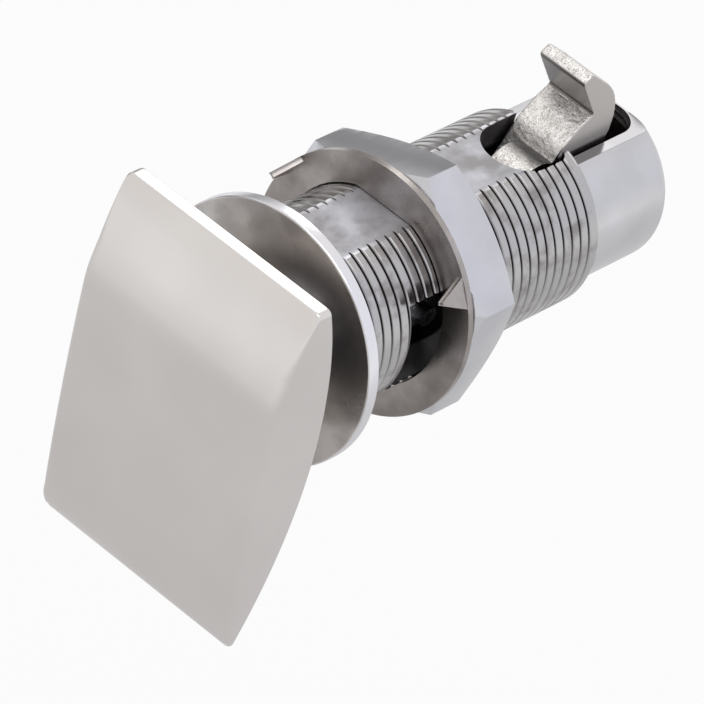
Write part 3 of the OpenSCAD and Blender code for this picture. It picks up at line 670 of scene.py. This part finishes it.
def makeBarrel(size):
    far = 80  # beyond every end of the latch
    body = threadedShell(size)
    combine(body, bore(size["frontBore"], -1, size["webFront"]), "DIFFERENCE")
    combine(body, bore(size["webBore"], size["webFront"] - 1, size["webRear"] + 1), "DIFFERENCE")
    combine(body, bore(size["rearBore"], size["webRear"], size["bodyEnd"] + 1), "DIFFERENCE")
    combine(body, block((-far, -1, size["flat"]), (far, far, far)), "DIFFERENCE")
    combine(body, block((-far, -1, -far), (far, far, -size["flat"])), "DIFFERENCE")
    window = size["windowHalf"]
    combine(body, block((-far, size["windowStart"], -window), (far, size["webFront"], window)), "DIFFERENCE")
    corner = size["frontCorner"]
    combine(body, roundedSlot(size["pocketHalf"], size["pocketStart"], size["pocketEnd"], size["pocketCorner"],
                              corner, size["pocketFloor"], far, size["pocketShift"]), "DIFFERENCE")
    slot = (size["slotHalf"], size["slotStart"], size["slotEnd"], corner, size["slotCorner"], 0, far)
    combine(body, roundedSlot(*slot), "DIFFERENCE")

    outer, edge, front, back = size["roseRadius"], size["roseEdge"], -size["roseThick"], size["roseBackEdge"]
    roseOutline = ([(size["bushBore"], 0.0), (size["bushBore"], front)]
                   + arcPoints(outer - edge, front + edge, edge, -90, 0, 5)
                   + arcPoints(outer - back, -back, back, 0, 90, 3))
    rose = latheRing(roseOutline, 320)

    tail, rear, rim = size["tail"], size["tailEnd"], size["tailRound"]
    start = size["bodyEnd"] - size["tailOverlap"]
    tailOutline = ([(size["rearBore"], start), (tail, start)]
                   + arcPoints(tail - rim, rear - rim, rim, 0, 90, 14) + [(size["rearBore"], rear)])
    tailForm = latheRing(tailOutline, 256)
    combine(tailForm, roundedSlot(*slot), "DIFFERENCE")
    combine(tailForm, block((-far, 30, size["tailFlat"]), (far, far, far)), "DIFFERENCE")
    bevelEdges(tailForm, size["slotEdge"], 3, 32)

    seatForm(body, "threaded_body", "thread", 14, "barrel", "barrel")
    seatForm(rose, "rose_disc", "rose", 14, "barrel", "barrel")
    seatForm(tailForm, "barrel_tail", "polished_steel", 14, "barrel", "barrel")


makeBarrel(barrelSizes)
say("barrel made")

# Hexagon nut: bevelled on both faces at 30 degrees, its edges just broken
nutSizes = {"across": 29.3, "turn": 19.0, "hole": 12.06, "bevelAngle": 30.0, "bevelReach": 4.0, "edge": 0.13,
            "holeBevel": 0.5}


def makeNut(size):
    low, high = (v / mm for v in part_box("hex_nut"))
    start, end = low.y, high.y
    face, hole, lead = size["across"] / 2, size["hole"], size["holeBevel"]
    corner = face / math.cos(math.radians(30))
    outline = arcPoints(0, 0, corner, size["turn"], size["turn"] + 360, 6)[:-1]
    nut = prism("nut", outline, start, end, lambda u, v, w: (u, w, v))
    reach = size["bevelReach"]
    drop = reach * math.tan(math.radians(size["bevelAngle"]))
    bevelled = latheRing([(hole, start + lead), (hole + lead, start), (face, start),
                          (face + reach, start + drop), (face + reach, end - drop), (face, end),
                          (hole + lead, end), (hole, end - lead)], 256)
    combine(nut, bevelled, "INTERSECT")
    bevelEdges(nut, size["edge"], 3, 22)
    seatForm(nut, "hex_nut_shell", "nut", 24, "nut", "hex_nut")


makeNut(nutSizes)
say("nut made")

# Spurred washer: a stamped ring whose two spurs are bent forward
washerSizes = {"thick": 0.8, "blankHole": 6.0, "hole": 12.15, "holeFlat": 11.35, "edge": 0.1, "inset": 0.12,
               "spurAngle": 59.0, "spurLength": 3.7, "spurHalf": 1.8, "spurTip": 0.12, "spurThick": 0.72,
               "spurRoot": 0.3}


def makeWasher(size):
    low, high = (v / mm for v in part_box("spur_washer"))
    radius, rear = (high.x - low.x) / 2, high.y
    front = rear - size["thick"]
    blank, flat = size["blankHole"], size["holeFlat"]
    ring = latheRing([(blank, front), (radius, front), (radius, rear), (blank, rear)], 256)
    hole = bore(size["hole"], front - 1, rear + 1)
    combine(hole, block((-radius, front - 0.9, -flat), (radius, rear + 0.9, flat)), "INTERSECT")
    combine(ring, hole, "DIFFERENCE")
    bevelEdges(ring, size["edge"], 2, 30)
    half, tip = size["spurHalf"], size["spurTip"]
    point, root = front - size["spurLength"], rear - size["spurRoot"]
    outline = [(-half, root), (half, root), (half, front), (tip, point), (-tip, point), (-half, front)]
    outside = radius - size["inset"]
    for side in (-1, 1):
        spur = prism("spur", outline, outside - size["spurThick"], outside, lambda u, v, w: (u, v, w))
        spur.data.transform(Matrix.Rotation(side * math.radians(size["spurAngle"]), 4, "Y"))
        bevelEdges(spur, size["edge"], 2, 30)
        combine(ring, spur, "UNION")
    seatForm(ring, "spur_washer_shell", "stamped_steel", 30, "washer", "spur_washer")


makeWasher(washerSizes)
say("washer made")


# Claw hook: one casting, its edges softened by tumbling, its faces pebbled but for the ground sides and mouth
hookSizes = {
    "pivotZ": 4.6, "half": 3.5, "farX": -2.3, "drum": 4.5, "drumCentre": (1.2, 1.0), "drumX": -1.5, "hub": 2.9,
    "pin": 1.3, "backRadius": 8.5, "backCentre": (5.1, 7.0), "backTop": 53.7, "tip": (13.05, 4.0, 0.5),
    "forkThick": 1.5, "forkReach": 8.05, "forkHalf": 2.5, "forkSlot": 1.2, "forkDepth": 4.1, "lean": 28.5,
    "voxel": 0.14, "pebble": 0.05, "lumpsPerMm": 1.7, "mouthReach": 0.35,
}


# A polygon whose corners are (u, v, radius), each with its radius as a fillet or a round
def softOutline(corners, steps=6):
    points = []
    count = len(corners)
    for k, (u, v, radius) in enumerate(corners):
        here = Vector((u, v))
        if radius <= 0:
            points.append((u, v))
            continue
        before = Vector(corners[k - 1][:2]) - here
        after = Vector(corners[(k + 1) % count][:2]) - here
        angle = before.angle(after)
        reach = min(radius / math.tan(angle / 2), 0.48 * before.length, 0.48 * after.length)
        start, end = here + before.normalized() * reach, here + after.normalized() * reach
        for i in range(steps + 1):
            t = i / steps
            points.append(tuple((1 - t) ** 2 * start + 2 * t * (1 - t) * here + t ** 2 * end))
    return points


def makeHook(size):
    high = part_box("hook")[1] / mm
    centreY, centreZ = size["backCentre"]
    pivotY = high.y - centreY - size["backRadius"]
    half, farX = size["half"], size["farX"]

    def across(u, v, w):
        return w, pivotY + u, size["pivotZ"] + v

    # The claw from the side: its tip, its round back, its mouth and the valley before it, and down to the pivot
    back = [(centreY + size["backRadius"] * math.cos(math.radians(a)),
             centreZ + size["backRadius"] * math.sin(math.radians(a)), 0)
            for a in range(-20, int(size["backTop"]), 4)]
    front = [(6.6, 16.45, 0.55), (5.1, 15.5, 0.6), (9.2, 9.7, 0.12), (7.2, 8.55, 2.0), (4.75, 6.6, 1.3),
             (0.75, 0, 0)]
    claw = softOutline([size["tip"]] + back + front + [(0, 0, 0), (1.4, -2.5, 0)])
    hook = prism("hook", claw, -half, half, across)
    drum = arcPoints(*size["drumCentre"], size["drum"], 48, 246, 33) + [(0, -3.2), (1.2, 0)]
    combine(hook, prism("drum", drum, size["drumX"], half, across), "UNION")

    # The forked tail that the drive pin swings, leaning back from the claw
    lean = math.radians(size["lean"])
    wide, reach, slot, deep = size["forkHalf"], size["forkReach"], size["forkSlot"], size["forkDepth"]
    fork = [(-wide, 0), (-wide, -reach), (-slot, -reach), (-slot, -deep), (slot, -deep), (slot, -reach),
            (wide, -reach), (wide, 0)]
    fork = [(u * math.cos(lean) - v * math.sin(lean), u * math.sin(lean) + v * math.cos(lean)) for u, v in fork]
    combine(hook, prism("fork", fork, -size["forkThick"], size["forkThick"], across), "UNION")

    # The hub: its narrower side leaves room for the spacer on the pivot pin
    hub = arcPoints(0, 0, size["hub"], 0, 360, 60)[:-1]
    room = arcPoints(0, 0, size["hub"] * 1.05, 0, 360, 60)[:-1]
    pin = arcPoints(0, 0, size["pin"], 0, 360, 36)[:-1]
    combine(hook, prism("hub", hub, farX, half, across), "UNION")
    combine(hook, prism("spacer room", room, farX - half, farX, across), "DIFFERENCE")
    combine(hook, prism("pin hole", pin, -9, 9, across), "DIFFERENCE")

    # One skin over all of it, softened, then pebbled along its normals but not on the ground faces
    remesh = hook.modifiers.new("casting", "REMESH")
    remesh.mode = "VOXEL"
    remesh.voxel_size = size["voxel"]
    soften = hook.modifiers.new("tumbling", "SMOOTH")
    soften.factor, soften.iterations = 0.5, 3
    applyModifiers(hook)
    for vertex, normal in [(v, v.normal.copy()) for v in hook.data.vertices]:
        if abs(vertex.co.dot(mouthWay) - mouthAt) < size["mouthReach"]:
            continue
        ground = min(1.0, max(0.0, (abs(normal.x) - 0.6) / 0.3))
        lumps = noise.fractal(vertex.co * size["lumpsPerMm"], 1.0, 2.0, 3)
        vertex.co += normal * size["pebble"] * (lumps - 0.45) * (1 - ground)
    seatForm(hook, "hook_casting_shell", "hook_casting", 80, "hook", "hook")


makeHook(hookSizes)
say("hook made")

# Return spring: drawn wire, a closed turn at each end
springSizes = {"wire": 0.9, "coil": 9.8, "turns": 4.0, "closedPitch": 1.04, "steps": 40, "sides": 10}


def makeSpring(size):
    low, high = (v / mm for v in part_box("return_spring"))
    length, wire = high.y - low.y, size["wire"]
    closed = wire * size["closedPitch"]
    active = (length - wire - 2 * closed) / (size["turns"] - 2)
    vertices, faces = [], []
    count = int(size["turns"] * size["steps"])
    for i in range(count + 1):
        turn = size["turns"] * i / count
        first, last = min(turn, 1), max(turn - (size["turns"] - 1), 0)
        y = low.y + wire / 2 + closed * (first + last) + active * (turn - first - last)
        a = 2 * math.pi * turn
        for k in range(size["sides"]):
            b = 2 * math.pi * k / size["sides"]
            r = size["coil"] / 2 + wire / 2 * math.cos(b)
            vertices.append((r * math.cos(a), y + wire / 2 * math.sin(b), r * math.sin(a)))
    sides = size["sides"]
    for i in range(count):
        for k in range(sides):
            n = (k + 1) % sides
            faces.append((i * sides + k, (i + 1) * sides + k, (i + 1) * sides + n, i * sides + n))
    faces += [tuple(range(sides)), tuple(count * sides + k for k in range(sides - 1, -1, -1))]
    mesh = meshFrom("return_coil", vertices, faces)
    piece = finishMesh("return_coil", mesh, materials["spring_wire"], 60)
    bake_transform(piece)
    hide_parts("return_spring")


makeSpring(springSizes)
say("spring made")


# Each CAD node that stays gets the finish of its own slot
def shadeCadNodes():
    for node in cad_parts.values():
        slotName = node.data.materials[0].name.split(".")[0]
        for place in node.material_slots:
            place.material = materials[slotName]


shadeCadNodes()
say("inner pieces shaded")

# Floor and light: a plain pale floor and a soft, mostly white studio
studio = {"floorDrop": 0.12, "floorHalf": 12.0, "floor": "#cbcbcb", "seen": 0.92, "gloss": (0.06, 0.85),
          "glossReach": (0.16, 0.6), "wall": "#f1efed", "rightWall": "#f1f1f6", "wallDark": 0.62}


# Pale floor: it keeps the shadow and looks nearly white to the camera. For reflections it glows white as
# painted light, more so further off, which leaves painted shade in the metal near the object
def makeFloor(size):
    half, z = size["floorHalf"], -size["floorDrop"]
    mesh = bpy.data.meshes.new("floor")
    corners = [(-half, -half, z), (half, -half, z), (half, half, z), (-half, half, z)]
    mesh.from_pydata(corners, [], [(0, 1, 2, 3)])
    floor = bpy.data.objects.new("floor", mesh)
    bpy.context.scene.collection.objects.link(floor)
    material, tree, shader, place = newMaterial("pale floor", 0.0)
    setInputs(shader, {"Base Color": hexColour(size["floor"]), "Roughness": 0.9})
    # Painted light: reflections see the floor glow white, more strongly further from the object
    away = addNode(tree, "VectorMath", [place], "Value", operation="LENGTH")
    whiter = addNode(tree, "MapRange", [away, *size["glossReach"], *size["gloss"]])
    glossy = addNode(tree, "LightPath", output="Is Glossy Ray")
    through = addNode(tree, "LightPath", output="Is Transmission Ray")
    reflected = addNode(tree, "Math", [glossy, through], operation="MAXIMUM")
    mirrored = addNode(tree, "Math", [reflected, whiter], operation="MULTIPLY")
    direct = addNode(tree, "LightPath", output="Is Camera Ray")
    seen = addNode(tree, "Math", [direct, size["seen"]], operation="MULTIPLY")
    share = addNode(tree, "Math", [seen, mirrored], operation="MAXIMUM")
    white = addNode(tree, "Emission", {"Color": (1, 1, 1, 1), "Strength": 1.0})
    mix = addNode(tree, "MixShader", [share, shader.outputs[0], white])
    setInputs(tree.nodes["Material Output"], {"Surface": mix})
    mesh.materials.append(material)


# The studio's walls: light overhead, cooler on the right, and darker low on the left for contrast in the metal
def makeWorld(size):
    world = bpy.data.worlds.new("soft studio")
    bpy.context.scene.world = world
    world.use_nodes = True
    tree = world.node_tree
    way = addNode(tree, "TexCoord", output="Generated")
    x = addNode(tree, "SeparateXYZ", [way], "X")
    y = addNode(tree, "SeparateXYZ", [way], "Y")
    z = addNode(tree, "SeparateXYZ", [way], "Z")
    low = addNode(tree, "MapRange", [z, 0.2, 0.52, 1.0, 0.0])
    left = addNode(tree, "MapRange", [x, -0.6, 0.0, 1.0, 0.0])
    ahead = addNode(tree, "MapRange", [y, -0.85, -0.5, 0.0, 1.0])
    corner = addNode(tree, "Math", [low, left], operation="MULTIPLY")
    shaded = addNode(tree, "Math", [corner, size["wallDark"]], operation="MULTIPLY")
    dark = addNode(tree, "Math", [shaded, ahead], operation="MULTIPLY")
    walls = twoTone(tree, x, size["wall"], size["rightWall"], 0.1, 0.5)
    colour = addNode(tree, "Mix", {0: dark, 6: walls, 7: (0, 0, 0, 1)}, 2, data_type="RGBA")
    setInputs(tree.nodes["Background"], {"Color": colour, "Strength": 1.0})


def addLamp(name, place, target, width, height, power):
    data = bpy.data.lights.new(name, "AREA")
    data.shape = "RECTANGLE"
    data.size, data.size_y = width, height
    data.energy = power
    lamp = bpy.data.objects.new(name, data)
    bpy.context.scene.collection.objects.link(lamp)
    lamp.location = place
    lamp.rotation_euler = (Vector(target) - Vector(place)).to_track_quat("-Z", "Y").to_euler()


makeFloor(studio)
makeWorld(studio)
addLamp("rear softbox", (-0.33, 0.56, 0.48), (0, 0.02, 0), 0.26, 0.2, 0.3)
addLamp("top softbox", (0.1, -0.15, 0.9), (0, 0.02, 0), 0.7, 0.7, 2.2)

# Camera: its place and turn were worked out from the rose, nut, tail and plate in the photograph
cameraPlace = {"location": (353.35, -542.64, 479.30), "turn": (2.012, 0.919, -0.149), "focalPixels": 7221.04,
               "frame": 704, "sensor": 36.0}


def makeCamera(size):
    data = bpy.data.cameras.new("camera")
    data.sensor_width = size["sensor"]
    data.lens = size["focalPixels"] * size["sensor"] / size["frame"]
    data.clip_start, data.clip_end = 0.01, 100
    turn = Vector(size["turn"])
    worldToView = Matrix.Rotation(turn.length, 3, turn.normalized())
    viewToWorld = worldToView.transposed() @ Matrix.Diagonal((1, -1, -1))
    camera = bpy.data.objects.new("camera", data)
    bpy.context.scene.collection.objects.link(camera)
    camera.matrix_world = Matrix.Translation(Vector(size["location"]) * mm) @ viewToWorld.to_4x4()
    bpy.context.scene.camera = camera


makeCamera(cameraPlace)
bpy.context.scene.view_settings.view_transform = "Standard"
say("camera, floor and lamps placed")
